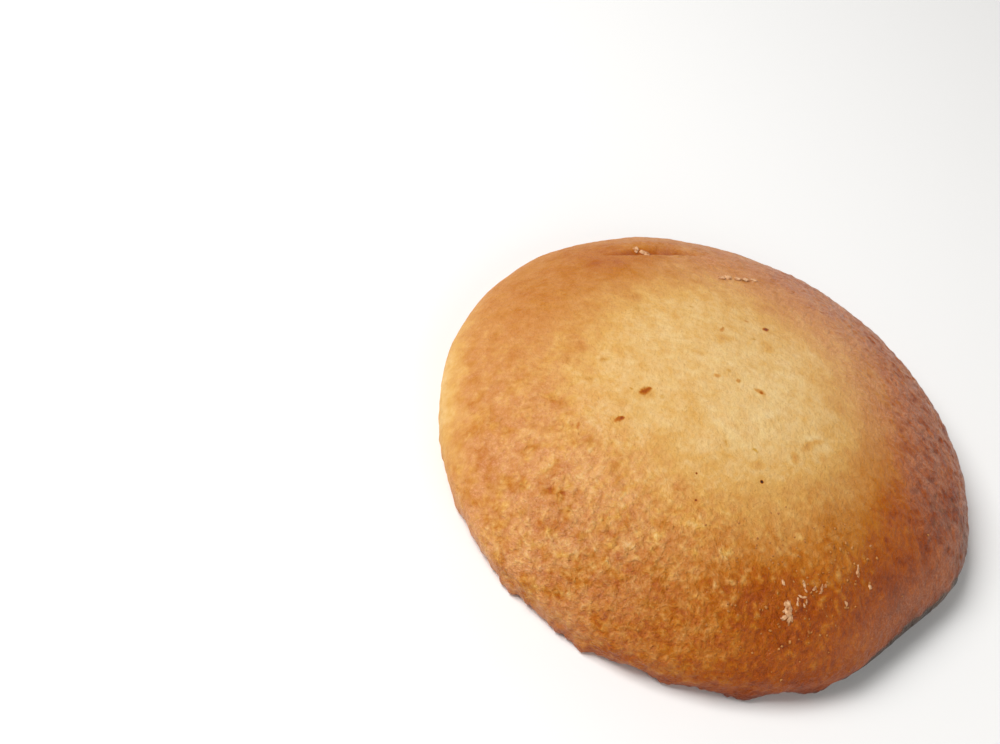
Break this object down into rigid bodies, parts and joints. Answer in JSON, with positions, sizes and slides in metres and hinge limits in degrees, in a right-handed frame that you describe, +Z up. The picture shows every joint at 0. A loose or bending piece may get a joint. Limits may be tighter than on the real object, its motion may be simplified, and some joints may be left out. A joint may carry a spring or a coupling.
{
  "type": "egg sponge cake",
  "caption": "Round, domed egg sponge cake for one person, whole: a browned soft crust with a pale crown, a flat base and a ragged foot.",
  "frame": {"origin": "centre of the box round the flat base, on the surface that the cake rests on", "axes": "+Z up through the crown; +X to the right and +Y away as the picture shows the cake, so the pressed side is at the front right and the crease at the back left"},
  "size_m": [0.1086, 0.1074, 0.026],
  "materials": {
    "crust": "browned egg sponge crust, soft, slightly glossy where it is darkest, pale on the crown",
    "crumb": "dry, matte flakes and crumbs of sponge and crust"
  },
  "bodies": {
    "root": {"cake": "crust"}
  },
  "joints": []
}
